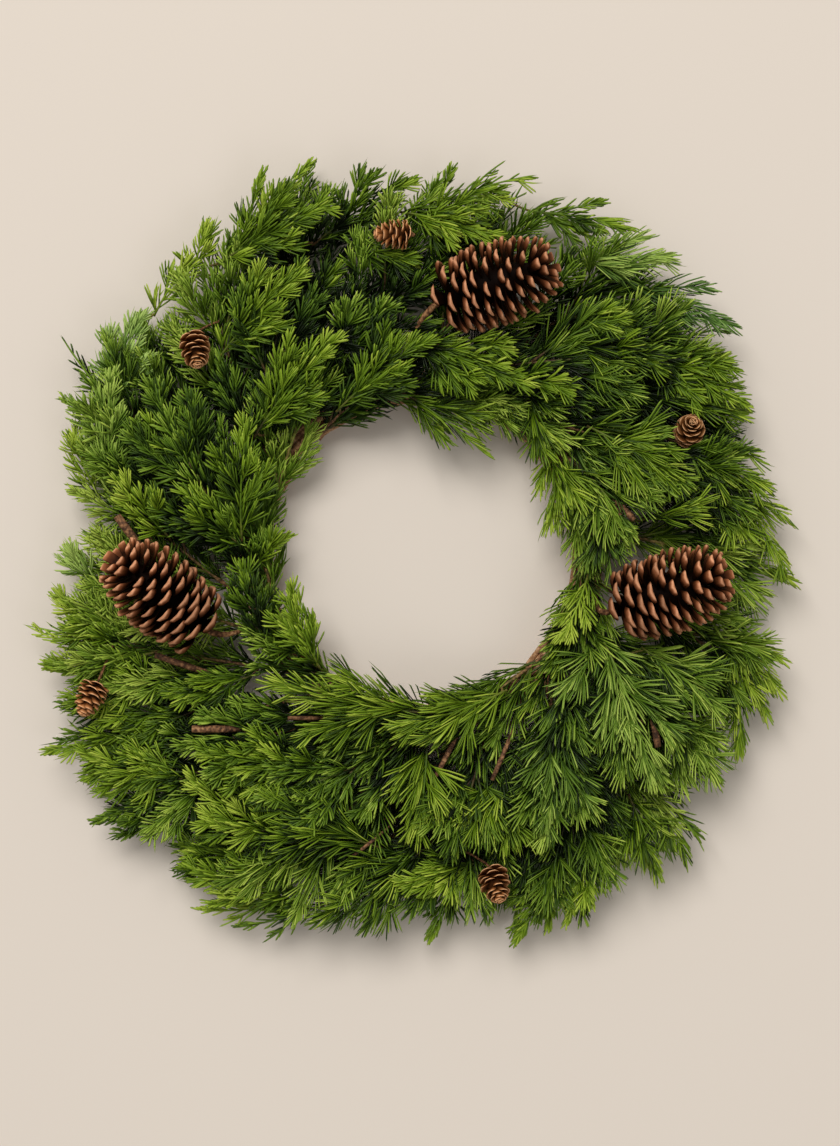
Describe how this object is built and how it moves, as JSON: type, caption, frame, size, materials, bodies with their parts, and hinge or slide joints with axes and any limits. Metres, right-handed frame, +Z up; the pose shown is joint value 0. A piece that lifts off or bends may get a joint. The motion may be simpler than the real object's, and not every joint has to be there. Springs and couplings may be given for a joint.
{
  "type": "cypress wreath",
  "caption": "Round evergreen wreath of cypress sprays tucked into a ring of wound vines, dressed with pine cones and small cones.",
  "frame": {"origin": "centre of the bounding box's bottom face, on the surface that the wreath lies on", "axes": "+Z up out of the wreath's face, +Y to its top as it is shown, +X to its right"},
  "size_m": [0.612, 0.624, 0.1067],
  "materials": {
    "foliage": "satin, fresh green scale leaves, yellow-green at the tips",
    "vine": "dry bark, matt",
    "pine_cone": "dry woody scales, matt with paler worn ends",
    "small_cone": "dry thin scales, satin"
  },
  "bodies": {
    "root": {"vine_1": "vine", "vine_2": "vine", "vine_3": "vine", "vine_4": "vine", "vine_5": "vine", "pine_cone_top": "pine_cone", "pine_cone_left": "pine_cone", "pine_cone_right": "pine_cone", "small_cone_upper_left": "small_cone", "small_cone_top": "small_cone", "small_cone_right": "small_cone", "small_cone_bottom": "small_cone", "small_cone_left": "small_cone", "face_spray_1": "foliage", "face_spray_2": "foliage", "face_spray_3": "foliage", "face_spray_4": "foliage", "face_spray_5": "foliage", "face_spray_6": "foliage", "face_spray_7": "foliage", "face_spray_8": "foliage", "face_spray_9": "foliage", "face_spray_10": "foliage", "face_spray_11": "foliage", "rim_spray_1": "foliage", "rim_spray_2": "foliage", "rim_spray_3": "foliage", "rim_spray_4": "foliage", "rim_spray_5": "foliage", "rim_spray_6": "foliage", "rim_spray_7": "foliage", "rim_spray_8": "foliage", "rim_spray_9": "foliage", "rim_spray_10": "foliage", "outer_spray_1": "foliage", "outer_spray_2": "foliage", "outer_spray_3": "foliage", "outer_spray_4": "foliage", "outer_spray_5": "foliage", "outer_spray_6": "foliage", "outer_spray_7": "foliage", "outer_spray_8": "foliage", "outer_spray_9": "foliage", "outer_spray_10": "foliage", "outer_spray_11": "foliage", "outer_spray_12": "foliage", "outer_spray_13": "foliage", "outer_spray_14": "foliage", "outer_spray_15": "foliage", "outer_spray_16": "foliage", "outer_spray_17": "foliage", "outer_spray_18": "foliage", "outer_spray_19": "foliage", "outer_spray_20": "foliage", "outer_spray_21": "foliage", "outer_spray_22": "foliage", "outer_spray_23": "foliage", "outer_spray_24": "foliage", "outer_spray_25": "foliage"}
  },
  "joints": []
}
